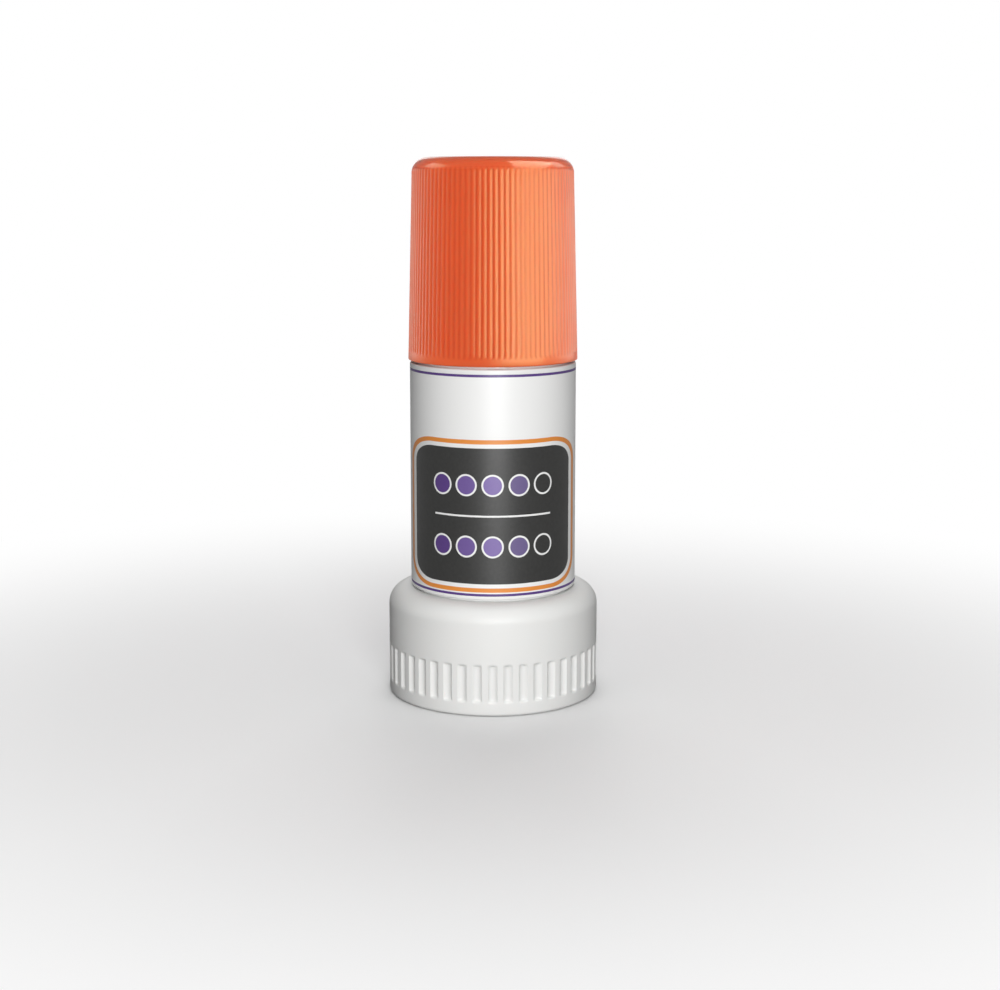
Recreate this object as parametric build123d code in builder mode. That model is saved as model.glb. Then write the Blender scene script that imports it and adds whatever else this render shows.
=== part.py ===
from build123d import *
from math import atan2, degrees, hypot
import os

# A glue stick with a wide twist base, in millimetres. +Z is up, and the origin is the centre of the
# foot, on the surface that the stick stands on. Every turned piece shares the Z axis.

# Driving dimensions
bore_diameter = 22.4
body_wall = 2.55
body_length = 37.3
neck_length = 29.0
knob_overhang = 3.75
knob_height = 18.0
cap_overhang = 0.25
cap_taper = 0.8
thread_lead = 6.0

# Clearances
turn_gap = 0.3
cap_seat_gap = 0.4
cap_clearance = 0.15
bead_clearance = 0.06
seal_clearance = 0.08
snap_clearance = 0.15
journal_clearance = 0.08
slide_clearance = 0.2
key_clearance = 0.2
thread_clearance = 0.3
bore_end_gap = 1.0

# Barrel sizes
barrel_floor = 1.6
spigot_length = 2.1
spigot_wall = 1.2
spigot_step = 0.75
spigot_bead_depth = 0.45
spigot_bead_height = 0.8
barrel_edge = 0.3
mouth_edge = 0.2
neck_bead_height = 1.2
neck_bead_rise = 2.4
key_count = 4
key_angle = 45
key_depth = 0.4
key_width = 1.4
key_stop = 5.0

# Label sizes
label_thickness = 0.1
label_foot_margin = 0.6
label_top_margin = 0.8
label_seam = 0.4

# Cap sizes
cap_wall = 0.95
cap_crown = 1.3
cap_headroom = 3.1
cap_shoulder_radius = 2.5
cap_ceiling_radius = 1.2
cap_rib_count = 96
cap_rib_depth = 0.2
cap_groove_width = 0.6
cap_rim_band = 1.2
seal_wall = 0.9
seal_gap = 0.4

# Knob sizes
knob_wall = 1.6
knob_lip = 1.7
knob_floor = 1.6
well_wall = 1.2
well_gap = 0.7
knob_top_radius = 3.0
knob_foot_radius = 0.6
grip_count = 44
grip_radius = 0.9
grip_depth = 0.4
grip_foot = 2.2
grip_height = 6.4
socket_wall = 2.0
socket_foot = 4.0
web_count = 4
web_angle = 45
web_thickness = 1.2

# Spindle sizes
core_radius = 2.2
crest_radius = 3.3
ridge_root = 2.6
ridge_crest = 1.4
ridge_sink = 0.3
journal_step = 0.2
flange_radius = 6.5
flange_thickness = 1.2
plug_radius = 3.2
plug_sides = 6
plug_recess = 0.7
tip_length = 1.5
tip_chamfer = 0.8

# Carrier sizes
skirt_height = 7.0
carrier_floor = 2.0
carrier_wall = 0.9
cup_depth = 8.0
cup_stop = 4.0
nut_wall = 1.4
peg_radius = 1.1
peg_height = 4.4
peg_sink = 0.6

# Glue size
glue_recess = 1.8

# Used in building only: how far a cut runs past its piece, and how near an edge must be to be chosen
overrun = 1.0
same_place = 0.001

# Heights up the axis, each worked out from the pieces below it
barrel_foot = knob_height + turn_gap
barrel_floor_under = barrel_foot - barrel_floor
spigot_foot = barrel_floor_under - spigot_length
shoulder = barrel_foot + body_length
mouth = shoulder + neck_length
key_top = mouth - key_stop
cap_rim = shoulder + cap_seat_gap
cap_ceiling = mouth + cap_headroom
cap_top = cap_ceiling + cap_crown
well_floor = spigot_foot - well_gap
lip_under = knob_height - knob_lip
carrier_foot = barrel_foot + turn_gap
carrier_floor_under = carrier_foot + skirt_height
glue_foot = carrier_floor_under + carrier_floor
cup_rim = glue_foot + cup_depth
glue_top = mouth - glue_recess
travel = mouth - cup_rim - cup_stop
low_peg = carrier_foot + peg_height
high_peg = low_peg + thread_lead / 2
thread_foot = low_peg - thread_lead / 2
thread_top = high_peg + travel + thread_lead / 2
spindle_tip = thread_top + tip_length

# Radii that fit one piece to the next
bore_radius = bore_diameter / 2
barrel_radius = bore_radius + body_wall
cap_rim_radius = barrel_radius + cap_overhang
cap_top_radius = cap_rim_radius - cap_taper
spigot_radius = barrel_radius - spigot_step
spigot_bead_radius = spigot_radius + spigot_bead_depth
lip_radius = spigot_radius + snap_clearance
well_radius = spigot_bead_radius + snap_clearance
knob_radius = barrel_radius + knob_overhang
carrier_radius = bore_radius - slide_clearance
cup_radius = carrier_radius - carrier_wall
key_tip_radius = bore_radius - key_depth
notch_radius = key_tip_radius - key_clearance
journal_radius = crest_radius + journal_step
nut_bore_radius = crest_radius + thread_clearance
label_radius = barrel_radius - label_thickness


def cap_outer(height):
    """Radius over the cap's ribs at a height: the wall leans in evenly from its rim to its top."""
    return cap_rim_radius - cap_taper * (height - cap_rim) / (cap_top - cap_rim)


def cap_inner(height):
    """Radius of the cap's inside wall at a height."""
    return cap_outer(height) - cap_rib_depth - cap_wall


def neck_outer(height):
    """Radius of the neck, which leans in with the cap that slides over it."""
    return cap_inner(height) - cap_clearance


def circles_at(part, radius, height):
    """The circular edges of a turned piece that have this radius and lie at this height."""
    rings = part.edges().filter_by(GeomType.CIRCLE)
    return rings.filter_by(
        lambda e: abs(e.radius - radius) < same_place and abs(e.arc_center.Z - height) < same_place
    )


# Barrel: a tube with a floor, a spigot that the knob snaps on below, and a neck for the cap above
with BuildPart() as barrel:
    with BuildSketch(Plane.XZ):
        with BuildLine():
            Polyline(
                (journal_radius + journal_clearance, barrel_floor_under),
                (spigot_radius - spigot_wall, barrel_floor_under),
                (spigot_radius - spigot_wall, spigot_foot),
                (spigot_radius, spigot_foot),
                (spigot_radius, barrel_foot),
                (barrel_radius, barrel_foot),
                (barrel_radius, barrel_foot + label_foot_margin),
                (label_radius, barrel_foot + label_foot_margin),
                (label_radius, shoulder - label_top_margin),
                (barrel_radius, shoulder - label_top_margin),
                (barrel_radius, shoulder),
                (neck_outer(shoulder), shoulder),
                (neck_outer(mouth), mouth),
                (bore_radius, mouth),
                (bore_radius, barrel_foot),
                (journal_radius + journal_clearance, barrel_foot),
                close=True,
            )
        make_face()
    revolve(axis=Axis.Z)
    chamfer(circles_at(barrel, barrel_radius, barrel_foot), length=barrel_edge)
    fillet(circles_at(barrel, barrel_radius, shoulder), radius=barrel_edge)
    fillet(circles_at(barrel, neck_outer(mouth), mouth), radius=mouth_edge)

    # The bead under the knob's lip, sloped below so that it snaps through
    with BuildSketch(Plane.XZ):
        with BuildLine():
            bead_top = lip_under - turn_gap
            Polyline(
                (spigot_radius - spigot_wall / 2, spigot_foot),
                (spigot_radius, spigot_foot),
                (spigot_bead_radius, bead_top - spigot_bead_height / 2),
                (spigot_bead_radius, bead_top),
                (spigot_radius - spigot_wall / 2, bead_top),
                close=True,
            )
        make_face()
    revolve(axis=Axis.Z)

    # The round bead that the cap grips, near the foot of the neck
    bead_height = shoulder + neck_bead_rise
    bead_reach = cap_inner(bead_height) - bead_clearance
    with BuildSketch(Plane.XZ):
        with BuildLine():
            ThreePointArc(
                (neck_outer(bead_height - neck_bead_height / 2), bead_height - neck_bead_height / 2),
                (bead_reach, bead_height),
                (neck_outer(bead_height + neck_bead_height / 2), bead_height + neck_bead_height / 2),
            )
            Polyline(
                (neck_outer(bead_height + neck_bead_height / 2), bead_height + neck_bead_height / 2),
                ((bore_radius + neck_outer(bead_height)) / 2, bead_height),
                (neck_outer(bead_height - neck_bead_height / 2), bead_height - neck_bead_height / 2),
            )
        make_face()
    revolve(axis=Axis.Z)

    # The keys along the bore, which stop the carrier from turning
    with BuildSketch(Plane.XY.offset(barrel_foot)):
        with PolarLocations(bore_radius, key_count, start_angle=key_angle):
            Rectangle(2 * key_depth, key_width)
    extrude(amount=key_top - barrel_foot)
barrel.part.label = "barrel"

# Label: a film wrapped round the barrel's recess, with its seam at the back
with BuildPart() as wrap_label:
    label_foot = barrel_foot + label_foot_margin
    label_height = shoulder - label_top_margin - label_foot
    with BuildSketch(Plane.XY.offset(label_foot)):
        Circle(barrel_radius)
        Circle(label_radius, mode=Mode.SUBTRACT)
        with Locations((0, barrel_radius)):
            Rectangle(label_seam, barrel_radius, mode=Mode.SUBTRACT)
    extrude(amount=label_height)
wrap_label.part.label = "wrap_label"

# One groove between two ribs of the cap, leaning in with its wall
cap_lean = degrees(atan2(cap_taper, cap_top - cap_rim))
groove_foot = cap_rim + cap_rim_band
with BuildPart() as cap_groove:
    groove_plane = Plane((cap_outer(groove_foot), 0, groove_foot)).rotated((0, -cap_lean, 0))
    with BuildSketch(groove_plane):
        with BuildLine():
            Polyline(
                (-cap_rib_depth, 0),
                (cap_rib_depth, cap_groove_width),
                (cap_rib_depth, -cap_groove_width),
                close=True,
            )
        make_face()
    extrude(amount=hypot(cap_top - groove_foot, cap_outer(groove_foot) - cap_top_radius) + overrun)

# Cap: a leaning cup with fine ribs outside, and a ring inside that plugs the barrel's mouth
with BuildPart() as cap:
    with BuildSketch(Plane.XZ):
        with BuildLine():
            Polyline(
                (0, cap_ceiling),
                (cap_inner(cap_ceiling), cap_ceiling),
                (cap_inner(cap_rim), cap_rim),
                (cap_rim_radius, cap_rim),
                (cap_top_radius, cap_top),
                (0, cap_top),
                close=True,
            )
        make_face()
    revolve(axis=Axis.Z)
    fillet(circles_at(cap, cap_top_radius, cap_top), radius=cap_shoulder_radius)
    fillet(circles_at(cap, cap_inner(cap_ceiling), cap_ceiling), radius=cap_ceiling_radius)
    fillet(circles_at(cap, cap_rim_radius, cap_rim), radius=cap_wall / 4)
    with PolarLocations(0, cap_rib_count):
        add(cap_groove.part, mode=Mode.SUBTRACT)
    seal_foot = glue_top + seal_gap
    with BuildSketch(Plane.XY.offset(seal_foot)):
        Circle(bore_radius - seal_clearance)
        Circle(bore_radius - seal_clearance - seal_wall, mode=Mode.SUBTRACT)
    extrude(amount=cap_ceiling + cap_crown / 2 - seal_foot)
cap.part.label = "cap"

# Knob: the wide base, hollow from below, with a well for the barrel's spigot and a hub for the spindle
with BuildPart() as twist_knob:
    knob_inside = knob_radius - knob_wall
    well_outside = well_radius + well_wall
    well_floor_under = well_floor - knob_floor
    hub_radius = plug_radius + socket_wall
    with BuildSketch(Plane.XZ):
        with BuildLine():
            Polyline(
                (0, well_floor),
                (well_radius, well_floor),
                (well_radius, lip_under),
                (lip_radius, lip_under),
                (lip_radius, knob_height),
                (knob_radius, knob_height),
                (knob_radius, 0),
                (knob_inside, 0),
                (knob_inside, lip_under),
                (well_outside, lip_under),
                (well_outside, well_floor_under),
                (hub_radius, well_floor_under),
                (hub_radius, socket_foot),
                (0, socket_foot),
                close=True,
            )
        make_face()
    revolve(axis=Axis.Z)
    fillet(circles_at(twist_knob, knob_radius, knob_height), radius=knob_top_radius)
    fillet(circles_at(twist_knob, knob_radius, 0), radius=knob_foot_radius)

    # Webs that brace the hub to the outer wall
    with BuildSketch(Plane.XY.offset(socket_foot)):
        web_length = knob_inside + knob_wall / 2 - plug_radius - socket_wall / 2
        with PolarLocations(plug_radius + socket_wall / 2 + web_length / 2, web_count, start_angle=web_angle):
            Rectangle(web_length, web_thickness)
    extrude(amount=well_floor - knob_floor / 2 - socket_foot)

    # The hexagonal socket, and the grip flutes round the lower half
    with BuildSketch(Plane.XY.offset(well_floor)):
        RegularPolygon(plug_radius, plug_sides)
    extrude(amount=-(well_floor - socket_foot + overrun), mode=Mode.SUBTRACT)
    with BuildSketch(Plane.XY.offset(grip_foot)):
        with PolarLocations(knob_radius + grip_radius - grip_depth, grip_count):
            Circle(grip_radius)
    extrude(amount=grip_height, mode=Mode.SUBTRACT)
twist_knob.part.label = "twist_knob"

# Spindle: a hexagonal plug, a flange, a journal through the barrel's floor, and a coarse thread
with BuildPart() as screw_spindle:
    plug_foot = socket_foot + plug_recess
    with BuildSketch(Plane.XY.offset(plug_foot)):
        RegularPolygon(plug_radius, plug_sides)
    extrude(amount=well_floor - plug_foot)
    with BuildSketch(Plane.XZ):
        with BuildLine():
            Polyline(
                (0, well_floor),
                (flange_radius, well_floor),
                (flange_radius, well_floor + flange_thickness),
                (journal_radius, well_floor + flange_thickness),
                (journal_radius, barrel_foot),
                (core_radius, barrel_foot),
                (core_radius, spindle_tip - tip_chamfer),
                (core_radius - tip_chamfer, spindle_tip),
                (0, spindle_tip),
                close=True,
            )
        make_face()
    revolve(axis=Axis.Z)

    # The ridge of the thread, swept along one unbroken right-handed helix
    with BuildLine():
        Helix(thread_lead, thread_top - thread_foot, core_radius, center=(0, 0, thread_foot))
    with BuildSketch(Plane((core_radius, 0, thread_foot), x_dir=(1, 0, 0), z_dir=(0, -1, 0))):
        with BuildLine():
            Polyline(
                (-ridge_sink, -ridge_root / 2),
                (crest_radius - core_radius, -ridge_crest / 2),
                (crest_radius - core_radius, ridge_crest / 2),
                (-ridge_sink, ridge_root / 2),
                close=True,
            )
        make_face()
    sweep(is_frenet=True)
screw_spindle.part.label = "screw_spindle"

# Carrier: a cup that holds the glue's foot, over a skirt and a nut sleeve with two pegs in the thread
with BuildPart() as glue_carrier:
    with BuildSketch(Plane.XZ):
        with BuildLine():
            Polyline(
                (nut_bore_radius, carrier_foot),
                (nut_bore_radius + nut_wall, carrier_foot),
                (nut_bore_radius + nut_wall, carrier_floor_under),
                (cup_radius, carrier_floor_under),
                (cup_radius, carrier_foot),
                (carrier_radius, carrier_foot),
                (carrier_radius, cup_rim),
                (cup_radius, cup_rim),
                (cup_radius, glue_foot),
                (nut_bore_radius, glue_foot),
                close=True,
            )
        make_face()
    revolve(axis=Axis.Z)
    with BuildSketch(Plane.XY.offset(carrier_foot)):
        with PolarLocations(notch_radius + overrun / 2, key_count, start_angle=key_angle):
            Rectangle(overrun, key_width + 2 * key_clearance)
    extrude(amount=cup_rim - carrier_foot, mode=Mode.SUBTRACT)
    peg_tip = core_radius + thread_clearance
    peg_length = nut_bore_radius + peg_sink - peg_tip
    low_place = Location((peg_tip, 0, low_peg), (0, 90, 0))
    high_place = Location((-peg_tip, 0, high_peg), (0, -90, 0))
    with Locations(low_place, high_place):
        Cylinder(peg_radius, peg_length, align=(Align.CENTER, Align.CENTER, Align.MIN))
glue_carrier.part.label = "glue_carrier"

# Glue: a cast column, stepped in to fill the cup, bored for the spindle and grooved for the keys
with BuildPart() as glue_column:
    with BuildSketch(Plane.XZ):
        with BuildLine():
            Polyline(
                (nut_bore_radius, glue_foot),
                (cup_radius, glue_foot),
                (cup_radius, cup_rim),
                (carrier_radius, cup_rim),
                (carrier_radius, glue_top),
                (0, glue_top),
                (0, spindle_tip + bore_end_gap),
                (nut_bore_radius, spindle_tip + bore_end_gap),
                close=True,
            )
        make_face()
    revolve(axis=Axis.Z)
    with BuildSketch(Plane.XY.offset(cup_rim)):
        with PolarLocations(notch_radius + overrun / 2, key_count, start_angle=key_angle):
            Rectangle(overrun, key_width + 2 * key_clearance)
    extrude(amount=glue_top - cup_rim, mode=Mode.SUBTRACT)
glue_column.part.label = "glue_column"

print("carrier travel", round(travel, 3), "turns", round(travel / thread_lead, 4))

os.makedirs("parts", exist_ok=True)
export_step(barrel.part, "parts/barrel.step")
export_step(wrap_label.part, "parts/wrap_label.step")
export_step(cap.part, "parts/cap.step")
export_step(twist_knob.part, "parts/twist_knob.step")
export_step(screw_spindle.part, "parts/screw_spindle.step")
export_step(glue_carrier.part, "parts/glue_carrier.step")
export_step(glue_column.part, "parts/glue_column.step")
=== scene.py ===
import math

import bmesh
import bpy
import numpy as np
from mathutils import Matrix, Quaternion, Vector


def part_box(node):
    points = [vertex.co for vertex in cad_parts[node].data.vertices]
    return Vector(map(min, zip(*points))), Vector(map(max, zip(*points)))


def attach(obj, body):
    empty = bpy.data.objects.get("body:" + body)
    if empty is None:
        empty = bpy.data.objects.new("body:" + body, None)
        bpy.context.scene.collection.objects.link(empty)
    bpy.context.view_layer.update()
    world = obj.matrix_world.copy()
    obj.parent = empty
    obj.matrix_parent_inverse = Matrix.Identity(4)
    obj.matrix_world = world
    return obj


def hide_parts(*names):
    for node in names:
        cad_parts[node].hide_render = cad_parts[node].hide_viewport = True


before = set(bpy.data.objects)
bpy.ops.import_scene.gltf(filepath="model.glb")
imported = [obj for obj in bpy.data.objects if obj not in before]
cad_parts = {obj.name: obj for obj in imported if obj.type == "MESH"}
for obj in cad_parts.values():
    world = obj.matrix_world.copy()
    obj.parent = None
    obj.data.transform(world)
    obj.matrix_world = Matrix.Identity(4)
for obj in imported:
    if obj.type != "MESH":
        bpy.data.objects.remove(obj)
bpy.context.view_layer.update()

# The twist base: a wide white moulding, snapped on the barrel's foot and turned to raise the glue. It is
# hollow from below, with a well for the barrel's spigot, a hub for the screw, four webs and grip flutes.
MM = 0.001
TURN = 2 * math.pi
MERGE_DISTANCE = 0.0001
SHARP_ANGLE = 32


def arc(centre, radius, start, end, steps=8):
    """Points on a circle: centre + radius (cos t, sin t), with t from start to end in degrees."""
    t = np.radians(np.linspace(start, end, steps))
    return np.column_stack([centre[0] + radius * np.cos(t), centre[1] + radius * np.sin(t)])


def run(start, end, steps=2):
    """Points evenly along a straight line from start to end, both included."""
    share = np.linspace(0, 1, steps)[:, None]
    return (1 - share) * np.array(start) + share * np.array(end)


def sheet_mesh(name, points, wrap_rows, wrap_columns, uv=None, sharp=SHARP_ANGLE):
    """A mesh from a grid of points, in millimetres: four neighbours of the grid make a face, and a
    direction that wraps joins its last row or column to its first. uv holds one pair for each point."""
    rows, columns = points.shape[:2]
    number = np.arange(rows * columns).reshape(rows, columns)
    if wrap_rows:
        number = np.vstack([number, number[:1]])
    if wrap_columns:
        number = np.hstack([number, number[:, :1]])
    corners = [number[:-1, :-1], number[:-1, 1:], number[1:, 1:], number[1:, :-1]]
    faces = np.stack([c.ravel() for c in corners], axis=1)
    mesh = bpy.data.meshes.new(name)
    mesh.from_pydata(points.reshape(-1, 3) * MM, [], faces)
    if uv is not None:
        layer = mesh.uv_layers.new(name="wrap")
        layer.data.foreach_set("uv", uv.reshape(-1, 2)[faces.ravel()].astype(np.float32).ravel())
    close_up(mesh, sharp)
    return mesh


def close_up(mesh, sharp):
    """Merges the points that meet at a pole, turns every face outwards, and smooths all but sharp edges."""
    work = bmesh.new()
    work.from_mesh(mesh)
    bmesh.ops.remove_doubles(work, verts=work.verts, dist=MERGE_DISTANCE * MM)
    bmesh.ops.recalc_face_normals(work, faces=work.faces)
    work.to_mesh(mesh)
    work.free()
    mesh.shade_smooth()
    mesh.set_sharp_from_angle(angle=math.radians(sharp))


def turned(name, outline, columns, shape=None, closed=False):
    """A turned surface: the outline's point (r, z), carried round by the angle a, lies at
    (r cos a, r sin a, z). shape(r, z, a) may give another r, for flutes, ribs and keys."""
    outline = np.vstack([np.atleast_2d(part) for part in outline])
    angle = TURN * np.arange(columns) / columns
    radius, height, around = np.broadcast_arrays(outline[:, :1], outline[:, 1:], angle[None, :])
    if shape:
        radius = shape(radius, height, around)
    points = np.stack([radius * np.cos(around), radius * np.sin(around), height], axis=2)
    return sheet_mesh(name, points, closed, True)


def smooth_step(value, low, high):
    """0 below low, 1 above high, and the curve t t (3 - 2 t) between them."""
    t = np.clip((value - low) / (high - low), 0, 1)
    return t * t * (3 - 2 * t)


def placed(name, data):
    """A new object in the scene that holds the data."""
    thing = bpy.data.objects.new(name, data)
    bpy.context.scene.collection.objects.link(thing)
    return thing


def shown(name, mesh, material, body, slot, *nodes):
    """Puts a finished mesh in the scene, riding on its body in place of its CAD nodes."""
    piece = placed(name, mesh)
    mesh.materials.append(material)
    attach(piece, body)
    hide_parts(*nodes)
    return piece


class Field:
    """A value that varies over a surface: one output socket. An expression on fields adds Math nodes."""

    def __init__(self, finish, socket):
        self.finish, self.socket = finish, socket

    def math(self, operation, *others):
        """A Math node on this value and up to two others."""
        values = dict(enumerate((self, *others)))
        return self.finish.node("ShaderNodeMath", {"operation": operation}, values)[0]

    def __add__(self, other):
        return self.math("ADD", other)

    def __sub__(self, other):
        return self.math("SUBTRACT", other)

    def __rsub__(self, other):
        return self.math("MULTIPLY_ADD", -1, other)

    def __mul__(self, other):
        return self.math("MULTIPLY", other)

    def __truediv__(self, other):
        return self.math("DIVIDE", other)

    def __abs__(self):
        return self.math("ABSOLUTE")

    __radd__, __rmul__ = __add__, __mul__

    def above(self, edge, blur):
        """1 where the value is past the edge, 0 where it is short of it, blurred over a width."""
        ends = {"Value": self, "From Min": edge - blur / 2, "From Max": edge + blur / 2}
        return self.finish.node("ShaderNodeMapRange", {"interpolation_type": "SMOOTHSTEP"}, ends)[0]

    def below(self, edge, blur):
        return 1 - self.above(edge, blur)

    def least(self, other):
        return self.math("MINIMUM", other)

    def most(self, other):
        return self.math("MAXIMUM", other)


class Sockets:
    """The output sockets of one node, by name or number."""

    def __init__(self, finish, node):
        self.finish, self.node = finish, node

    def __getitem__(self, key):
        return Field(self.finish, self.node.outputs[key])


class Nodes:
    """The nodes of one material, or of the world."""

    def __init__(self, tree):
        self.tree = tree

    def give(self, socket, value):
        if isinstance(value, Field):
            self.tree.links.new(value.socket, socket)
        elif isinstance(value, tuple) and len(value) == 3 and socket.type == "RGBA":
            socket.default_value = (*value, 1)
        else:
            socket.default_value = value

    def node(self, kind, settings=None, values=None):
        """Adds a node of a kind: its settings first, then the values or links of its sockets."""
        made = self.tree.nodes.new(kind)
        for name, value in (settings or {}).items():
            setattr(made, name, value)
        for key, value in (values or {}).items():
            if value is not None:
                self.give(made.inputs[key], value)
        return Sockets(self, made)

    def mix(self, low, high, share):
        """The colour low where the share is 0, and high where it is 1."""
        return self.node("ShaderNodeMix", {"data_type": "RGBA"}, {0: share, 6: low, 7: high})[2]

    def apart(self, vector):
        """The three parts of a vector, as fields."""
        parts = self.node("ShaderNodeSeparateXYZ", None, {0: vector})
        return parts[0], parts[1], parts[2]

    def length(self, x, y):
        """The length of the flat offset (x, y)."""
        offset = self.node("ShaderNodeCombineXYZ", None, {0: x, 1: y})[0]
        return self.node("ShaderNodeVectorMath", {"operation": "LENGTH"}, {0: offset})["Value"]


class Finish(Nodes):
    """One procedural material on the plain shader, with the nodes that vary it over the surface."""

    def __init__(self, name, **plain):
        self.material = bpy.data.materials.new(name)
        self.material.use_nodes = True
        super().__init__(self.material.node_tree)
        self.shader = self.tree.nodes["Principled BSDF"]
        for socket, value in plain.items():
            self.give(self.shader.inputs[socket.replace("_", " ")], value)

    def scatter(self, red, green, blue):
        """Sets how far light of each colour travels inside, in millimetres."""
        self.shader.inputs["Subsurface Radius"].default_value = (red * MM, green * MM, blue * MM)
        self.shader.inputs["Subsurface Scale"].default_value = 1.0

    def vary(self, **fields):
        """Feeds the shader's sockets with fields or colours that change over the surface."""
        for socket, field in fields.items():
            self.give(self.shader.inputs[socket.replace("_", " ")], field)
        return self

    def place(self):
        """The place on the piece, in millimetres."""
        found = self.node("ShaderNodeTexCoord")["Object"]
        return self.node("ShaderNodeVectorMath", {"operation": "SCALE"}, {0: found, "Scale": 1 / MM})[0]

    def noise(self, where, size, stretch=(1, 1, 1), detail=3.0):
        """Soft noise from 0 to 1 whose blobs are about size millimetres across, longer where stretched."""
        scale = tuple(1 / (size * s) for s in stretch)
        mapped = self.node("ShaderNodeMapping", None, {0: where, "Scale": scale})
        values = {"Vector": mapped[0], "Scale": 1.0, "Detail": detail}
        return self.node("ShaderNodeTexNoise", None, values)[0]

    def bump(self, height, depth):
        """Raises the surface by the field, to a depth in millimetres."""
        values = {"Height": height, "Distance": depth * MM, "Strength": 1.0}
        return self.vary(Normal=self.node("ShaderNodeBump", None, values)[0])


_, knob_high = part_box("twist_knob")
KNOB_RADIUS, KNOB_HEIGHT = knob_high.x / MM, knob_high.z / MM
KNOB_WALL = 1.6
KNOB_SHOULDER = 3.0
KNOB_TOE = 0.6
LIP_RADIUS, LIP_UNDER = 13.15, 16.3
WELL_RADIUS, WELL_FLOOR = 13.6, 13.9
WELL_OUTSIDE, FLOOR_UNDER = 14.8, 12.3
HUB_RADIUS, HUB_FOOT = 5.2, 4.0
SOCKET_RADIUS, SOCKET_END = 3.22, 6.0
FLUTES, FLUTE_RADIUS, FLUTE_DEPTH = 44, 0.9, 0.4
FLUTE_LOW, FLUTE_HIGH, FLUTE_FADE = 2.2, 8.6, 0.5
FLUTE_COLUMNS = 16
WEBS, WEB_THICKNESS, WEB_POWER, WEB_POINTS = 4, 1.2, 8, 32
SOFT = 0.2


def knob_shape(radius, height, angle):
    """Cuts the flutes and the six-sided socket. A flute is a circle's edge, so at a distance s beside
    its middle it is sqrt(radius^2 - s^2) deep, less what lies outside the wall. A flat of the socket
    lies at its inner radius over cos(angle from the flat's middle)."""
    pitch = TURN / FLUTES
    beside = KNOB_RADIUS * ((angle + pitch / 2) % pitch - pitch / 2)
    deep = np.sqrt(np.clip(FLUTE_RADIUS**2 - beside**2, 0, None)) - (FLUTE_RADIUS - FLUTE_DEPTH)
    fade = smooth_step(height, FLUTE_LOW, FLUTE_LOW + FLUTE_FADE)
    fade = fade * (1 - smooth_step(height, FLUTE_HIGH - FLUTE_FADE, FLUTE_HIGH))
    fluted = radius - np.clip(deep, 0, None) * fade
    radius = np.where(radius > KNOB_RADIUS - SOFT, fluted, radius)
    sixth = TURN / 6
    flat = math.cos(sixth / 2) / np.cos(angle % sixth - sixth / 2)
    return np.where(radius <= SOCKET_RADIUS + SOFT, radius * flat, radius)


knob_inside = KNOB_RADIUS - KNOB_WALL
knob_outline = [
    (0, SOCKET_END),
    (SOCKET_RADIUS, SOCKET_END),
    (SOCKET_RADIUS, HUB_FOOT + SOFT),
    (SOCKET_RADIUS + SOFT, HUB_FOOT),
    arc((HUB_RADIUS - SOFT, HUB_FOOT + SOFT), SOFT, -90, 0),
    arc((HUB_RADIUS + SOFT, FLOOR_UNDER - SOFT), SOFT, 180, 90),
    arc((WELL_OUTSIDE - SOFT, FLOOR_UNDER + SOFT), SOFT, -90, 0),
    (WELL_OUTSIDE, LIP_UNDER),
    (knob_inside, LIP_UNDER),
    arc((knob_inside + SOFT, SOFT), SOFT, 180, 270),
    arc((KNOB_RADIUS - KNOB_TOE, KNOB_TOE), KNOB_TOE, -90, 0),
    (KNOB_RADIUS, FLUTE_LOW - SOFT),
    run((KNOB_RADIUS, FLUTE_LOW), (KNOB_RADIUS, FLUTE_LOW + FLUTE_FADE), 6),
    run((KNOB_RADIUS, FLUTE_LOW + 2 * FLUTE_FADE), (KNOB_RADIUS, FLUTE_HIGH - 2 * FLUTE_FADE), 4),
    run((KNOB_RADIUS, FLUTE_HIGH - FLUTE_FADE), (KNOB_RADIUS, FLUTE_HIGH), 6),
    (KNOB_RADIUS, FLUTE_HIGH + SOFT),
    arc((KNOB_RADIUS - KNOB_SHOULDER, KNOB_HEIGHT - KNOB_SHOULDER), KNOB_SHOULDER, 0, 90, 20),
    arc((LIP_RADIUS + SOFT, KNOB_HEIGHT - SOFT), SOFT, 90, 180),
    (LIP_RADIUS, LIP_UNDER),
    (WELL_RADIUS, LIP_UNDER),
    arc((WELL_RADIUS - SOFT, WELL_FLOOR + SOFT), SOFT, 0, -90),
    (0, WELL_FLOOR),
]


def web_points(angle):
    """A flat bar from the hub to the wall: a soft-edged oblong carried out along the radius, a
    superellipse where |x / half width|^8 + |z / half height|^8 = 1. Its ends close on their middles,
    one sunk in the hub and the other in the wall."""
    t = TURN * np.arange(WEB_POINTS) / WEB_POINTS
    half = np.array([WEB_THICKNESS, FLOOR_UNDER + SOFT - HUB_FOOT]) / 2
    wide = half[0] * np.sign(np.cos(t)) * np.abs(np.cos(t)) ** (2 / WEB_POWER)
    tall = half[1] * np.sign(np.sin(t)) * np.abs(np.sin(t)) ** (2 / WEB_POWER) + HUB_FOOT + half[1]
    out = np.linspace(HUB_RADIUS - SOFT, knob_inside + SOFT, 6)[:, None]
    x = out * math.cos(angle) - wide * math.sin(angle)
    y = out * math.sin(angle) + wide * math.cos(angle)
    ring = np.stack([x, y, np.broadcast_to(tall, x.shape)], axis=2)
    ends = np.broadcast_to(ring[[0, -1]].mean(axis=1, keepdims=True), (2, WEB_POINTS, 3))
    return np.concatenate([ends[:1], ring, ends[1:]])


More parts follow.
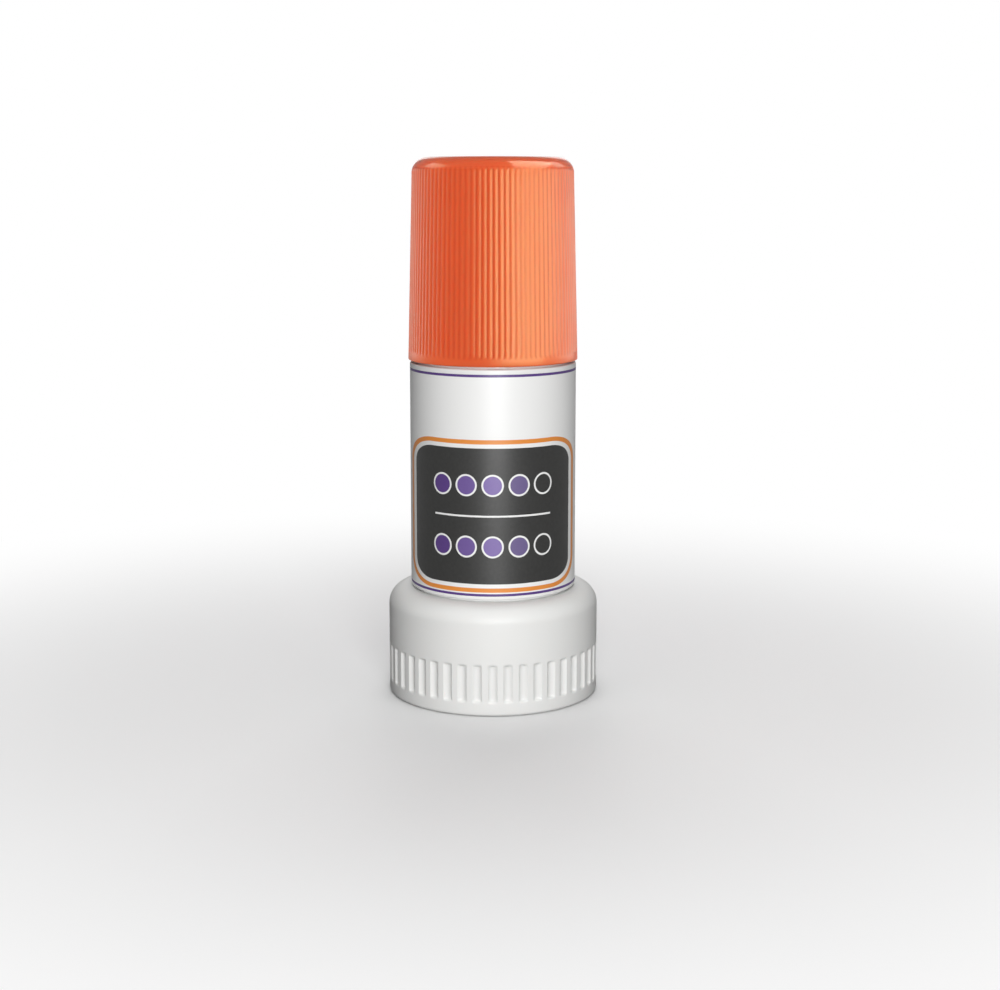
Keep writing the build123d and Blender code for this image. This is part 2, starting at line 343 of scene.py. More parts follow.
def joined(name, *meshes):
    """One mesh out of several, with the points and faces of each."""
    work = bmesh.new()
    for mesh in meshes:
        work.from_mesh(mesh)
    whole = bpy.data.meshes.new(name)
    work.to_mesh(whole)
    work.free()
    whole.set_sharp_from_angle(angle=math.radians(SHARP_ANGLE))
    return whole


SINK_SIZE, SINK_SHADE, SINK_SHARE = 9, 0.965, 0.5
RUB_SIZE, RUB_SHINE = 4.5, 0.12
GRAIN_SIZE, MOULDED_RISE = 0.16, 0.012
KNOB_WHITE, BARREL_WHITE, NATURAL_WHITE = (0.80, 0.80, 0.785), (0.82, 0.82, 0.81), (0.74, 0.74, 0.71)


def white_moulding(name, colour, roughness, grain):
    """White moulded plastic: faint sink and flow in the wall, a fine spark-eroded grain, and a
    polish that comes and goes where fingers rub it."""
    finish = Finish(name, IOR=1.49, Subsurface_Weight=0.08, Specular_IOR_Level=0.3)
    finish.scatter(1.2, 1.0, 0.9)
    where = finish.place()
    sunk = finish.noise(where, SINK_SIZE, (1, 1, 2.5))
    rubbed = finish.noise(where, RUB_SIZE, detail=5.0)
    grained = finish.noise(where, GRAIN_SIZE, detail=2.0)
    finish.vary(Base_Color=finish.mix(colour, tuple(c * SINK_SHADE for c in colour), sunk))
    finish.vary(Roughness=roughness + RUB_SHINE * (rubbed - 0.5))
    return finish.bump(sunk * SINK_SHARE + grained * grain, MOULDED_RISE).material


knob_white = white_moulding("knob_white", KNOB_WHITE, 0.42, 0.5)
web_meshes = [
    sheet_mesh(f"web_{n}", web_points(TURN * (n + 0.5) / WEBS), False, True) for n in range(WEBS)
]
knob_shell = turned("knob_shell", knob_outline, FLUTES * FLUTE_COLUMNS, knob_shape)
knob_mesh = joined("twist_base", knob_shell, *web_meshes)
shown("twist_base", knob_mesh, knob_white, "knob", "knob_plastic", "twist_knob")

# The lifting screw: natural white plastic with a coarse right-handed thread, pushed into the base's
# hub by its six-sided plug. Its shape is the fixed frame's own, and it gets its finish here.
screw_white = white_moulding("screw_white", NATURAL_WHITE, 0.5, 0.8)
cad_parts["screw_spindle"].data.materials[0] = screw_white

# The barrel: one white moulding, a tube with a floor, a spigot and bead below that the base snaps on,
# a shallow recess for the label, and a leaning neck with four keys down its bore.
barrel_low, barrel_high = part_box("barrel")
BARREL_RADIUS, SPIGOT_FOOT, MOUTH = barrel_high.x / MM, barrel_low.z / MM, barrel_high.z / MM
BARREL_FOOT, SHOULDER = 18.3, 55.6
BARREL_FLOOR = 1.6
BORE_RADIUS, JOURNAL_HOLE = 11.2, 3.58
SPIGOT_RADIUS, SPIGOT_BORE = 13.0, 11.8
BEAD_RADIUS, BEAD_LOW, BEAD_HIGH = 13.45, 15.7, 15.9
LABEL_RECESS, LABEL_LOW, LABEL_HIGH = 0.1, 18.9, 54.8
NECK_LOW, NECK_HIGH = 12.71, 12.007
NECK_BEAD, NECK_BEAD_HALF, NECK_BEAD_RISE = 58.0, 0.6, 0.09
KEYS, KEY_DEPTH, KEY_HALF, KEY_TOP = 4, 0.4, 0.7, 79.6
EDGE = 0.3
BARREL_COLUMNS = 480


def neck_radius(height):
    """The neck leans in evenly from the shoulder to the mouth."""
    return NECK_LOW + (NECK_HIGH - NECK_LOW) * (height - SHOULDER) / (MOUTH - SHOULDER)


def beside_key(radius, angle):
    """Distance along the wall from the middle of the nearest key."""
    pitch = TURN / KEYS
    return radius * np.abs(angle % pitch - pitch / 2)


def barrel_shape(radius, height, angle):
    """Lowers the bore's radius by a key's depth where the wall is nearer to a key than half its width."""
    on_bore = (np.abs(radius - BORE_RADIUS) < SOFT / 4) & (height <= KEY_TOP)
    key = 1 - smooth_step(beside_key(BORE_RADIUS, angle), KEY_HALF - SOFT / 2, KEY_HALF + SOFT / 2)
    return np.where(on_bore, radius - KEY_DEPTH * key, radius)


recessed = BARREL_RADIUS - LABEL_RECESS
bead_t = np.linspace(0, math.pi, 10)
bead_z = NECK_BEAD - NECK_BEAD_HALF * np.cos(bead_t)
barrel_outline = [
    (JOURNAL_HOLE, BARREL_FOOT - BARREL_FLOOR),
    (SPIGOT_BORE, BARREL_FOOT - BARREL_FLOOR),
    arc((SPIGOT_BORE + SOFT, SPIGOT_FOOT + SOFT), SOFT, 180, 270),
    arc((SPIGOT_RADIUS - SOFT, SPIGOT_FOOT + SOFT), SOFT, -90, -30),
    arc((BEAD_RADIUS - SOFT / 2, BEAD_LOW), SOFT / 2, -30, 0, 4),
    arc((BEAD_RADIUS - SOFT / 2, BEAD_HIGH), SOFT / 2, 0, 90, 4),
    (SPIGOT_RADIUS, BEAD_HIGH + SOFT / 2),
    (SPIGOT_RADIUS, BARREL_FOOT),
    (BARREL_RADIUS - EDGE, BARREL_FOOT),
    arc((BARREL_RADIUS - EDGE, BARREL_FOOT + EDGE), EDGE, -60, 0, 5),
    (BARREL_RADIUS, LABEL_LOW),
    (recessed, LABEL_LOW),
    run((recessed, LABEL_LOW), (recessed, LABEL_HIGH), 6),
    (BARREL_RADIUS, LABEL_HIGH),
    arc((BARREL_RADIUS - EDGE, SHOULDER - EDGE), EDGE, 0, 90),
    (neck_radius(SHOULDER) + SOFT, SHOULDER),
    arc((neck_radius(SHOULDER) + SOFT, SHOULDER + SOFT), SOFT, 270, 180),
    np.column_stack([neck_radius(bead_z) + NECK_BEAD_RISE * np.sin(bead_t), bead_z]),
    arc((NECK_HIGH - SOFT, MOUTH - SOFT), SOFT, 0, 90),
    arc((BORE_RADIUS + SOFT, MOUTH - SOFT), SOFT, 90, 180),
    run((BORE_RADIUS, KEY_TOP + SOFT), (BORE_RADIUS, KEY_TOP), 3),
    run((BORE_RADIUS, KEY_TOP), (BORE_RADIUS, BARREL_FOOT), 4),
    (JOURNAL_HOLE, BARREL_FOOT),
]
barrel_white = white_moulding("barrel_white", BARREL_WHITE, 0.3, 0.15)
barrel_mesh = turned("white_barrel", barrel_outline, BARREL_COLUMNS, barrel_shape, closed=True)
shown("white_barrel", barrel_mesh, barrel_white, "barrel", "barrel_plastic", "barrel")

# The label: a glossy printed film laid in the barrel's recess, with a seam at the back. Its front is a
# charcoal panel framed in white and orange, with two rows of discs that fade from purple to clear.
label_low, label_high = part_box("wrap_label")
LABEL_FOOT, LABEL_TOP = label_low.z / MM, label_high.z / MM
LABEL_RADIUS = BARREL_RADIUS
SEAM_HALF = 0.2
FILM_EDGE, FILM_COLUMNS = 0.03, 480
PANEL_MIDDLE, PANEL_HALF, PANEL_STRETCH = -0.15, 15.6, 1.7
PANEL_LOW, PANEL_HIGH, PANEL_CORNER = 20.9, 43.0, 3.0
FRAME_GAP, FRAME_LINE = 0.66, 0.7
FOOT_BAND = 0.42
DISCS, DISC_PITCH, DISC_RADIUS, DISC_RING = 5, 4.35, 1.5, 0.3
CLEAR_FROM, CLEAR_BLUR = 0.75, 0.5
DISC_ROWS = (37.0, 27.0)
RULE_HALF, RULE_HEIGHT, RULE_THICK = 10.2, 32.0, 0.3
BACK_HALF, BACK_LOW, BACK_HIGH, BACK_CORNER = 17.0, 21.5, 52.5, 3.0
PRINT_BLUR = 0.05
FLECK_SIZE, FLECK_SHARE = 0.5, 0.02
SMEAR_SIZE, SMEAR_SHINE, FILM_ROUGHNESS = 3, 0.1, 0.42
LAY_SIZE, LAY_RISE = 7, 0.02
INK = {
    "white": (0.84, 0.84, 0.83),
    "charcoal": (0.021, 0.021, 0.020),
    "orange": (0.74, 0.25, 0.035),
    "purple": (0.085, 0.035, 0.20),
    "lilac": (0.30, 0.22, 0.55),
}


def film(name):
    """A thin band bent round the barrel from one side of the seam to the other: at the angle a from the
    front, a point (r, z) of its oblong section lies at (r sin a, -r cos a, z). Each end closes on the
    section's middle."""
    outer, inner = LABEL_RADIUS, LABEL_RADIUS - LABEL_RECESS
    cross = np.vstack([
        run((inner, LABEL_FOOT), (outer - FILM_EDGE, LABEL_FOOT)),
        run((outer, LABEL_FOOT + FILM_EDGE), (outer, LABEL_TOP - FILM_EDGE), 24),
        run((outer - FILM_EDGE, LABEL_TOP), (inner, LABEL_TOP)),
    ])
    edge = SEAM_HALF / LABEL_RADIUS
    turn = np.linspace(edge - math.pi, math.pi - edge, FILM_COLUMNS + 1)
    turn = np.concatenate([turn[:1], turn, turn[-1:]])
    radius, height, angle = np.broadcast_arrays(cross[None, :, 0], cross[None, :, 1], turn[:, None])
    middle = (cross.min(axis=0) + cross.max(axis=0)) / 2
    radius, height = radius.copy(), height.copy()
    radius[[0, -1]], height[[0, -1]] = middle
    points = np.stack([radius * np.sin(angle), -radius * np.cos(angle), height], axis=2)
    uv = np.stack([angle / TURN + 0.5, (height - LABEL_FOOT) / (LABEL_TOP - LABEL_FOOT)], axis=2)
    return sheet_mesh(name, points, False, True, uv)


def oblong(finish, across, up, half, low, high, corner):
    """How far a point lies outside an oblong with round corners, in millimetres: the length of its
    offset past the corners' centres, or the nearer side's offset inside them, less the corner's radius."""
    past_x = abs(across) - (half - corner)
    past_y = abs(up - (low + high) / 2) - ((high - low) / 2 - corner)
    outside = finish.length(past_x.most(0), past_y.most(0))
    return outside + past_x.most(past_y).least(0) - corner


def printed_film():
    """The label's print, on its own wrap: along runs round the barrel from the front's middle, and up is
    the height, both in millimetres. The panel's frame is stretched sideways, because the barrel turns
    away there: its offset along the film is divided by the stretch before the frame is laid out."""
    finish = Finish("printed_film", IOR=1.5, Coat_Weight=0.1, Coat_Roughness=0.2)
    on_film = finish.node("ShaderNodeUVMap", {"uv_map": "wrap"})[0]
    wrap = finish.apart(on_film)
    along = (wrap[0] - 0.5) * TURN * LABEL_RADIUS
    up = wrap[1] * (LABEL_TOP - LABEL_FOOT) + LABEL_FOOT
    beside_panel = (along - PANEL_MIDDLE) / PANEL_STRETCH
    panel = oblong(finish, beside_panel, up, PANEL_HALF / PANEL_STRETCH, PANEL_LOW, PANEL_HIGH, PANEL_CORNER)
    colour = finish.mix(INK["white"], INK["charcoal"], panel.below(0, PRINT_BLUR))
    line = abs(panel - (FRAME_GAP + FRAME_LINE / 2)).below(FRAME_LINE / 2, PRINT_BLUR)
    colour = finish.mix(colour, INK["orange"], line)
    colour = finish.mix(colour, INK["purple"], up.below(LABEL_FOOT + FOOT_BAND, PRINT_BLUR))
    colour = finish.mix(colour, INK["purple"], up.above(LABEL_TOP - FOOT_BAND, PRINT_BLUR))

    # The discs: the nearest column's number tells how far a disc has faded, from 0 to 1
    column = (along / DISC_PITCH).math("ROUND")
    kept = abs(column).below(DISCS / 2, PRINT_BLUR)
    beside = along - column * DISC_PITCH
    faded = (column + (DISCS - 1) / 2) / (DISCS - 1)
    disc_ink = finish.mix(INK["purple"], INK["lilac"], faded)
    disc_ink = finish.mix(disc_ink, INK["charcoal"], faded.above(CLEAR_FROM, CLEAR_BLUR))
    for row in DISC_ROWS:
        away = finish.length(beside, up - row)
        ring = away.below(DISC_RADIUS + DISC_RING, PRINT_BLUR) * kept
        colour = finish.mix(colour, INK["white"], ring)
        colour = finish.mix(colour, disc_ink, away.below(DISC_RADIUS, PRINT_BLUR) * kept)
    rule = abs(along).below(RULE_HALF, PRINT_BLUR) * abs(up - RULE_HEIGHT).below(RULE_THICK / 2, PRINT_BLUR)
    colour = finish.mix(colour, INK["white"], rule)

    # The back: a plain purple panel on each side of the seam, with a thin orange line round it
    behind = abs(along) - math.pi * LABEL_RADIUS
    back = oblong(finish, behind, up, BACK_HALF, BACK_LOW, BACK_HIGH, BACK_CORNER)
    colour = finish.mix(colour, INK["purple"], back.below(0, PRINT_BLUR))
    back_line = abs(back - (FRAME_GAP + FRAME_LINE / 2)).below(FRAME_LINE / 2, PRINT_BLUR)
    colour = finish.mix(colour, INK["orange"], back_line)

    # The film's lay on the barrel, pale flecks in its ink, and smears in its shine
    where = finish.place()
    lay = finish.noise(where, LAY_SIZE, (1, 1, 3))
    fleck = finish.noise(where, FLECK_SIZE, detail=4.0)
    smear = finish.noise(where, SMEAR_SIZE, detail=5.0)
    finish.vary(Base_Color=finish.mix(colour, INK["white"], fleck * FLECK_SHARE))
    finish.vary(Roughness=FILM_ROUGHNESS + SMEAR_SHINE * (smear - 0.5))
    return finish.bump(lay, LAY_RISE).material


shown("label_film", film("label_film"), printed_film(), "barrel", "label_film", "wrap_label")

# The carrier: a natural white cup on a skirt, with a nut sleeve whose two pegs run in the thread. Its
# shape is the fixed frame's own, and it gets its finish here.
carrier_white = white_moulding("carrier_white", NATURAL_WHITE, 0.5, 0.8)
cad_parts["glue_carrier"].data.materials[0] = carrier_white

# The glue: a purple waxy column cast in the carrier's cup. It is bored for the screw and grooved for
# the keys, with a soft top edge, a slightly sunk top and the faint rings that casting leaves.
glue_low, glue_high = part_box("glue_column")
GLUE_FOOT, GLUE_TOP, GLUE_RADIUS = glue_low.z / MM, glue_high.z / MM, 11.0
CUP_RADIUS, CUP_RIM = 10.1, 35.6
GLUE_BORE, BORE_END = 3.6, 76.5
GLUE_EDGE, GLUE_SINK = 0.6, 0.25
GROOVE_FLOOR, GROOVE_HALF = 10.6, 0.9
GLUE_COLUMNS = 360
GLUE_DEEP, GLUE_CLOUD, GLUE_SKIN = (0.12, 0.05, 0.285), (0.18, 0.09, 0.38), (0.24, 0.15, 0.44)
CLOUD_SIZE, RING_SIZE, SKIN_SIZE, PORE_SIZE = 5, 1.4, 2.2, 0.35
PALE_FROM, PALE_BLUR, PALE_SHARE = 0.58, 0.2, 0.3
DULL_FROM, DULL_BLUR = 0.5, 0.4
GLUE_ROUGHNESS, SKIN_DULLS, PORE_DULLS = 0.34, 0.3, 0.1
RING_RISE, SKIN_RISE, PORE_RISE = 0.035, 0.084, 0.028


def glue_shape(radius, height, angle):
    """Keeps the wall within the grooves' floors where it faces a key."""
    groove = 1 - smooth_step(beside_key(GLUE_RADIUS, angle), GROOVE_HALF - SOFT, GROOVE_HALF)
    floor = np.minimum(radius, GROOVE_FLOOR)
    return np.where(height > CUP_RIM - SOFT, radius + (floor - radius) * groove, radius)


dish = np.linspace(1, 0, 8)
glue_outline = [
    (0, BORE_END),
    (GLUE_BORE, BORE_END),
    (GLUE_BORE, GLUE_FOOT),
    (CUP_RADIUS, GLUE_FOOT),
    run((CUP_RADIUS, GLUE_FOOT), (CUP_RADIUS, CUP_RIM), 4),
    run((GLUE_RADIUS, CUP_RIM), (GLUE_RADIUS, GLUE_TOP - GLUE_EDGE), 24),
    arc((GLUE_RADIUS - GLUE_EDGE, GLUE_TOP - GLUE_EDGE), GLUE_EDGE, 0, 90, 10),
    np.column_stack([(GLUE_RADIUS - 2 * GLUE_EDGE) * dish, GLUE_TOP - GLUE_SINK * (1 - dish**2)]),
]


def waxy_glue():
    """Stick glue: waxy and a little see-through, cloudy, with soft rings where the cast cooled, a skin
    that dulls in patches, and fine pores."""
    finish = Finish("waxy_glue", Subsurface_Weight=0.35, IOR=1.46, Coat_Weight=0.1, Coat_Roughness=0.2)
    finish.scatter(1.5, 0.8, 2.2)
    where = finish.place()
    cloud = finish.noise(where, CLOUD_SIZE, (1, 1, 1.5), 4.0)
    rings = finish.noise(where, RING_SIZE, (20, 20, 1), 2.0)
    skin = finish.noise(where, SKIN_SIZE, detail=5.0)
    pores = finish.noise(where, PORE_SIZE)
    colour = finish.mix(GLUE_DEEP, GLUE_CLOUD, cloud)
    pale = PALE_SHARE * skin.above(PALE_FROM, PALE_BLUR)
    finish.vary(Base_Color=finish.mix(colour, GLUE_SKIN, pale))
    dull = SKIN_DULLS * skin.above(DULL_FROM, DULL_BLUR)
    finish.vary(Roughness=GLUE_ROUGHNESS + dull + PORE_DULLS * pores)
    return finish.bump(rings * RING_RISE + skin * SKIN_RISE + pores * PORE_RISE, 1.0).material


glue_mesh = turned("purple_glue", glue_outline, GLUE_COLUMNS, glue_shape)
shown("purple_glue", glue_mesh, waxy_glue(), "carrier", "glue", "glue_column")

# The cap: a push-on cup of translucent orange plastic with fine ribs round it and a soft shoulder.
# Inside, a thin ring plugs the barrel's mouth, and the wall snaps over the neck's bead. The sunk ring
# on its top is where the mould was filled.
cap_low, cap_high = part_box("cap")
CAP_RIM, CAP_TOP = cap_low.z / MM, cap_high.z / MM
CAP_LOW_RADIUS, CAP_HIGH_RADIUS = BARREL_RADIUS + 0.25, BARREL_RADIUS - 0.55
CAP_WALL, CAP_CEILING, CAP_SHOULDER, CEILING_CORNER = 0.95, 87.7, 2.5, 1.2
RIBS, RIB_DEPTH, RIB_FOOT, RIB_END, RIB_FADE = 96, 0.2, 57.2, 87.3, 0.6
RIB_PRESS, GROOVE_POWER, RIB_COLUMNS, RIB_ROW = 0.44, 1.5, 10, 60
GATE_RADIUS, GATE_DEPTH, GATE_MARGIN = 1.6, 0.3, 0.5
STUB_FOOT, STUB_TOP, FLAT_SHARE = 0.45, 0.3, 0.9
SEAL_OUT, SEAL_IN, SEAL_FOOT = 11.12, 10.22, 83.2
RIM_EDGE = 0.22
# The third colour is painted shade: the darker orange laid in the rib grooves
CAP_ORANGE, CAP_PALE, CAP_PAINTED_GROOVE_SHADE = (0.88, 0.115, 0.037), (0.92, 0.145, 0.047), (0.79, 0.089, 0.028)
CAP_ROUGHNESS, CAP_COAT, CAP_RISE = 0.36, 0.05, 0.004
HAZE_DULLS, POLISH_SMOOTHS, POLISH_COAT, GRAIN_DULLS = 0.08, 0.2, 0.45, 0.1
POLISH_FADE = 0.8
CAP_FLOW_SIZE, CAP_HAZE_SIZE, CAP_GRAIN_SIZE = 5, 6, 0.2


def cap_radius(height):
    """The ribbed wall leans in evenly from the rim to the top."""
    return CAP_LOW_RADIUS + (CAP_HIGH_RADIUS - CAP_LOW_RADIUS) * (height - CAP_RIM) / (CAP_TOP - CAP_RIM)


def cap_inside(height):
    """The wall's inside keeps the same distance from the grooves' floors."""
    return cap_radius(height) - RIB_DEPTH - CAP_WALL


def cap_shape(radius, height, angle):
    """Cuts the grooves between the ribs. At an angle a a groove is (0.5 + 0.5 cos(ribs a))^1.5 of its
    full depth, and where the shoulder already lies inside the groove's floor, the shoulder stays."""
    wave = RIB_PRESS * (0.5 + 0.5 * np.cos(RIBS * angle)) ** GROOVE_POWER
    fade = smooth_step(height, RIB_FOOT, RIB_FOOT + RIB_FADE)
    fade = fade * (1 - smooth_step(height, RIB_END - RIB_FADE, RIB_END))
    groove = np.minimum(radius, cap_radius(height) - RIB_DEPTH * wave * fade)
    return np.where(radius > cap_radius(height) - CAP_WALL, groove, radius)


shoulder_z = CAP_TOP - CAP_SHOULDER
shoulder_r = cap_radius(shoulder_z) - CAP_SHOULDER
ceiling_r = cap_inside(CAP_CEILING - CEILING_CORNER) - CEILING_CORNER
cap_outline = [
    (0, CAP_CEILING),
    arc((SEAL_IN - SOFT, CAP_CEILING - SOFT), SOFT, 90, 0, 5),
    arc((SEAL_IN + SOFT, SEAL_FOOT + SOFT), SOFT, 180, 270, 5),
    arc((SEAL_OUT - SOFT, SEAL_FOOT + SOFT), SOFT, -90, 0, 5),
    (SEAL_OUT, CAP_CEILING - SOFT),
    arc((ceiling_r, CAP_CEILING - CEILING_CORNER), CEILING_CORNER, 60, 0, 6),
    run((cap_inside(CAP_CEILING - CEILING_CORNER), CAP_CEILING - CEILING_CORNER),
        (cap_inside(CAP_RIM + RIM_EDGE), CAP_RIM + RIM_EDGE), 6)[1:],
    arc((cap_inside(CAP_RIM) + RIM_EDGE, CAP_RIM + RIM_EDGE), RIM_EDGE, 180, 270, 5),
    arc((CAP_LOW_RADIUS - RIM_EDGE, CAP_RIM + RIM_EDGE), RIM_EDGE, -90, 0, 5),
    run((cap_radius(RIB_FOOT), RIB_FOOT), (cap_radius(RIB_FOOT + RIB_FADE), RIB_FOOT + RIB_FADE), 6),
    run((cap_radius(RIB_ROW), RIB_ROW),
        (cap_radius(RIB_END - 2 * RIB_FADE), RIB_END - 2 * RIB_FADE), 6)[:-1],
    arc((shoulder_r, shoulder_z), CAP_SHOULDER, 0, 90, 30),
    run((shoulder_r * FLAT_SHARE, CAP_TOP), (GATE_RADIUS + GATE_MARGIN, CAP_TOP), 4),
    arc((GATE_RADIUS + GATE_DEPTH, CAP_TOP - GATE_DEPTH), GATE_DEPTH, 90, 180, 5),
    (STUB_FOOT, CAP_TOP - GATE_DEPTH),
    arc((STUB_TOP, CAP_TOP - GATE_DEPTH / 2), GATE_DEPTH / 3, 0, 90, 4),
    (0, CAP_TOP - GATE_DEPTH / 6),
]


def orange_plastic():
    """Translucent orange plastic: light goes in, scatters and comes out warm, so the wall glows where
    it is lit. The ribs are hazy, with painted shade darkening their grooves, the rounded shoulder is
    polished, and the flat top is grained. The painted groove shade is darkest where the cosine of RIBS times
    the angle is 1."""
    finish = Finish("orange_plastic", IOR=1.5, Subsurface_Weight=0.5, Coat_Roughness=0.07)
    finish.shader.inputs["Specular Tint"].default_value = (1.0, 1.0, 0.4, 1)
    finish.scatter(0.8, 0.3, 0.15)
    where = finish.place()
    flow = finish.noise(where, CAP_FLOW_SIZE, (1, 1, 3))
    haze = finish.noise(where, CAP_HAZE_SIZE, detail=4.0)
    grain = finish.noise(where, CAP_GRAIN_SIZE, detail=2.0)
    x, y, z = finish.apart(where)
    out = finish.length(x, y)
    # Painted shade: this mask is 1 at each groove's floor, where the base colour is darkest
    groove = 0.5 + 0.5 * (y.math("ARCTAN2", x) * RIBS).math("COSINE")
    outside = out.above(CAP_HIGH_RADIUS - RIB_DEPTH, RIB_DEPTH / 2)
    ribbed = z.above(RIB_FOOT, RIB_FADE) * z.below(RIB_END, RIB_FADE) * outside
    polished = z.above(RIB_END, 2 * RIB_FADE) * out.above(shoulder_r + POLISH_FADE / 2, POLISH_FADE)
    flat_top = z.above(RIB_END, RIB_FADE) - polished
    colour = finish.mix(CAP_ORANGE, CAP_PALE, flow)
    # Painted shade in the rib grooves: the base colour darkens towards each groove's floor
    finish.vary(Base_Color=finish.mix(colour, CAP_PAINTED_GROOVE_SHADE, groove * ribbed))
    hazy = CAP_ROUGHNESS + HAZE_DULLS * (haze - 0.5)
    finish.vary(Roughness=hazy - POLISH_SMOOTHS * polished + GRAIN_DULLS * flat_top)
    finish.vary(Coat_Weight=CAP_COAT + POLISH_COAT * polished)
    return finish.bump(flow + grain * flat_top, CAP_RISE).material


cap_mesh = turned("orange_cap", cap_outline, RIBS * RIB_COLUMNS, cap_shape)
orange_cap = shown("orange_cap", cap_mesh, orange_plastic(), "cap", "cap_plastic", "cap")

# The studio: a pale floor that curves up into a white backdrop, soft lamps and the photograph's view.
# Round the object the floor is plain paper that takes its shadow, and further out it is white to the view.
FLOOR_HALF, SWEEP_RADIUS, WALL_HEIGHT, FLOOR_BACK = 2200, 500, 2400, 1200
SHADOW_NEAR, SHADOW_FAR = 40, 170
GLOSS_SHARE = 0.25
PAPER_SHADED, PAPER_SEEN = (0.10, 0.10, 0.10), (0.90, 0.90, 0.90)
WHITE_LIGHT, AMBIENT = (1.0, 1.0, 1.0), 0.07
LAMP_AIM = 60


def sweep_points():
    """A strip across: flat floor, then a quarter circle, then a straight wall behind the object."""
    t = np.linspace(0, math.pi / 2, 24)
    y = np.concatenate([[-FLOOR_HALF], FLOOR_BACK + SWEEP_RADIUS * np.sin(t), [FLOOR_BACK + SWEEP_RADIUS]])
    z = np.concatenate([[0], SWEEP_RADIUS * (1 - np.cos(t)), [WALL_HEIGHT]])
    x = np.array([-FLOOR_HALF, FLOOR_HALF])
    x, y, z = np.broadcast_arrays(x[None, :], y[:, None], z[:, None])
    return np.stack([x, y, z], axis=2)


def seen_share(nodes):
    """How much of the white a ray meets: all of it from the camera and through the pieces, a share of
    it when it is mirrored, and none when it lights a surface."""
    ray = nodes.node("ShaderNodeLightPath")
    mirrored = ray["Is Glossy Ray"] * GLOSS_SHARE
    return ray["Is Camera Ray"].most(mirrored).most(ray["Is Transmission Ray"])


backdrop = placed("backdrop", sheet_mesh("backdrop", sweep_points(), False, False, sharp=180))
paper = Finish("pale_paper", Roughness=0.9)
backdrop.data.materials.append(paper.material)
paper_seen = seen_share(paper)
paper.vary(Base_Color=paper.mix(PAPER_SHADED, PAPER_SEEN, paper_seen))
spot = paper.apart(paper.place())
far_off = paper.length(spot[0], spot[1]).above((SHADOW_NEAR + SHADOW_FAR) / 2, SHADOW_FAR - SHADOW_NEAR)
glow = paper.node("ShaderNodeEmission", None, {"Color": WHITE_LIGHT, "Strength": 1.0})
shade = paper.node("ShaderNodeMixShader", None, {0: paper_seen * far_off, 2: glow[0]})
paper.tree.links.new(paper.shader.outputs[0], shade.node.inputs[1])
paper.tree.links.new(shade.node.outputs[0], paper.tree.nodes["Material Output"].inputs["Surface"])


def softbox(name, azimuth, reach, height, size, power, lights, use, roll):
    """A flat lamp, so many millimetres wide and high, out from the axis by the reach at an azimuth that
    is 0 in front and grows to the right. It faces the object's middle, rolled by some degrees, and
    lights only the pieces of a collection, if one is given. A fill is a lamp that isn't mirrored, a
    card is one that is only mirrored, and both is an ordinary lamp."""
    lamp = bpy.data.lights.new(name, "AREA")
    lamp.shape, lamp.size, lamp.size_y = "RECTANGLE", size[0] * MM, size[1] * MM
    lamp.energy = power
    holder = placed(name, lamp)
    a = math.radians(azimuth)
    holder.location = Vector((reach * math.sin(a), -reach * math.cos(a), height)) * MM
    facing = (Vector((0, 0, LAMP_AIM)) * MM - holder.location).to_track_quat("-Z", "Y")
    holder.rotation_euler = (facing @ Quaternion((0, 0, 1), math.radians(roll))).to_euler()
    holder.visible_camera = False
    holder.visible_glossy = use != "fill"
    holder.visible_diffuse = use != "card"
    holder.light_linking.receiver_collection = lights


cap_alone = bpy.data.collections.new("cap_alone")
cap_alone.objects.link(orange_cap)
all_but_cap = bpy.data.collections.new("all_but_cap")
all_but_cap.objects.link(orange_cap)
all_but_cap.collection_objects[0].light_linking.link_state = "EXCLUDE"

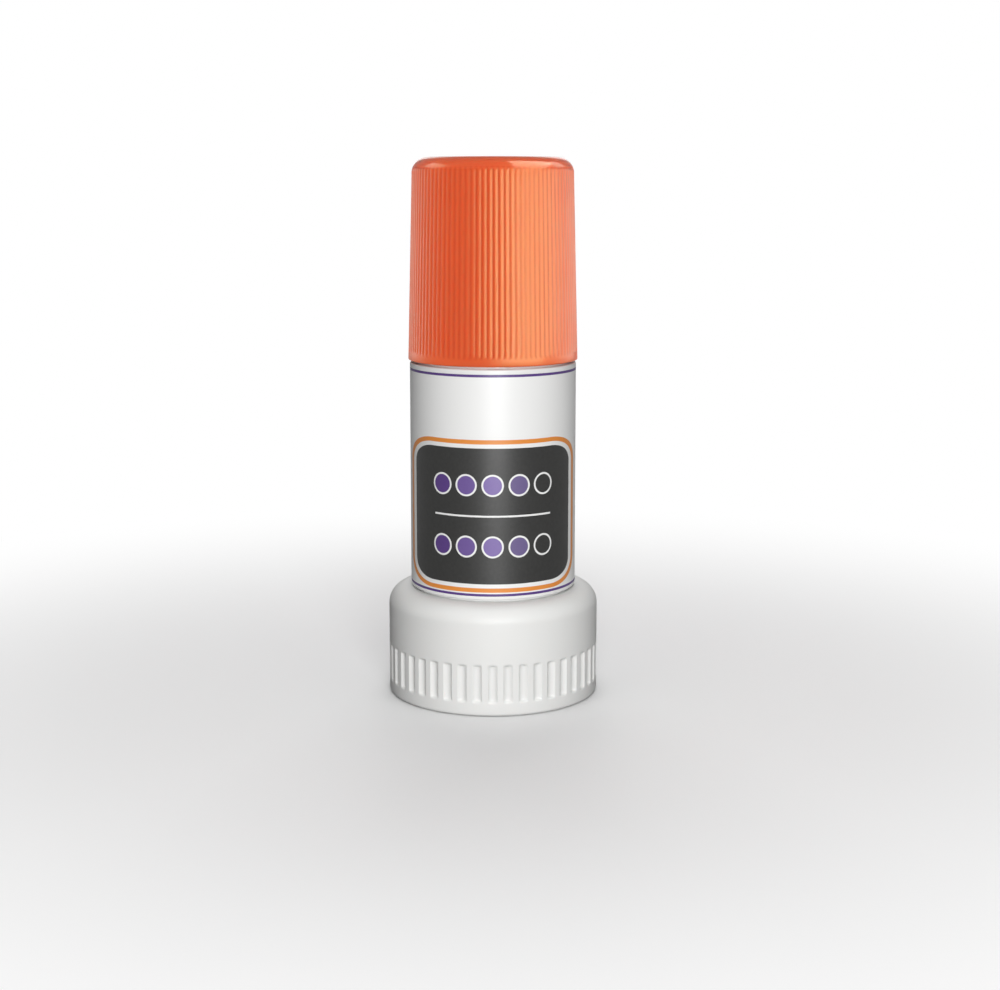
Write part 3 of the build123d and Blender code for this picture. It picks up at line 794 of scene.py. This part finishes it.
# Each lamp's name, azimuth, reach, height, size, power, what it lights, its use and its roll
LAMPS = [
    ("front", 5, 560, 150, (240, 300), 3.15, all_but_cap, "both", 0),
    ("behind_left", -168, 500, 260, (300, 300), 0.8, all_but_cap, "fill", 0),
    ("behind_right", 170, 500, 260, (300, 300), 0.9, all_but_cap, "fill", 0),
    ("top", 0, 1, 620, (420, 420), 1.3, all_but_cap, "both", 0),
    ("cap_front_fill", -5, 600, 260, (300, 300), 2.4, cap_alone, "fill", 0),
    ("cap_left_fill", -75, 500, 160, (300, 300), 0.78, cap_alone, "fill", 0),
    ("cap_right_fill", 75, 500, 160, (300, 300), 1.25, cap_alone, "fill", 0),
    ("cap_behind_left_fill", -150, 500, 260, (300, 300), 0.9, cap_alone, "fill", 0),
    ("cap_behind_right_fill", 150, 500, 260, (300, 300), 1.1, cap_alone, "fill", 0),
    ("cap_right_card", 39, 520, 60, (720, 120), 3.35, cap_alone, "card", 0),
    ("cap_side_card", 110, 520, 60, (520, 120), 0.78, cap_alone, "card", 0),
    ("cap_left_card", -122, 500, 60, (420, 120), 0.3, cap_alone, "card", 0),
    ("cap_above_card", 70, 318, 378, (376, 500), 2.5, cap_alone, "card", -39),
    ("cap_right_above_card", 118, 420, 330, (200, 200), 0.24, cap_alone, "card", 0),
    ("cap_left_above_card", -100, 380, 310, (260, 160), 0.26, cap_alone, "card", 0),
    ("cap_back_card", 180, 520, 210, (280, 300), 0.23, cap_alone, "card", 0),
]
for settings in LAMPS:
    softbox(*settings)

world = bpy.data.worlds.new("studio")
bpy.context.scene.world = world
world.use_nodes = True
sky = Nodes(world.node_tree)
dim = sky.node("ShaderNodeBackground", None, {"Color": WHITE_LIGHT, "Strength": AMBIENT})[0]
white = sky.node("ShaderNodeBackground", None, {"Color": WHITE_LIGHT, "Strength": seen_share(sky)})[0]
both = sky.node("ShaderNodeAddShader", None, {0: dim, 1: white})[0]
sky.give(sky.tree.nodes["World Output"].inputs["Surface"], both)

# The photograph's view: its size, focal length, horizon and the stick's axis in pixels, and the place
# of the camera in millimetres
PHOTO_WIDTH, PHOTO_HEIGHT = 1000, 990
SENSOR_WIDTH, CLIP_START = 36, 0.01
FOCAL_PIXELS = 1726
HORIZON_ROW = 185
AXIS_COLUMN = 493
PIXELS_PER_MM = 5.96
CAMERA_DISTANCE, CAMERA_HEIGHT = 285, 84.5
CAMERA_SHIFT = -0.06

camera = placed("camera", bpy.data.cameras.new("camera"))
camera.data.sensor_width = SENSOR_WIDTH
camera.data.lens = camera.data.sensor_width * FOCAL_PIXELS / PHOTO_WIDTH
camera.data.shift_y = CAMERA_SHIFT
tilt = math.atan((PHOTO_HEIGHT / 2 + CAMERA_SHIFT * PHOTO_WIDTH - HORIZON_ROW) / FOCAL_PIXELS)
aside = (PHOTO_WIDTH / 2 - AXIS_COLUMN) / PIXELS_PER_MM
camera.location = Vector((aside, -CAMERA_DISTANCE, CAMERA_HEIGHT)) * MM
camera.rotation_euler = (math.pi / 2 - tilt, 0, 0)
camera.data.clip_start = CLIP_START
bpy.context.scene.camera = camera
bpy.context.scene.view_settings.view_transform = "Standard"
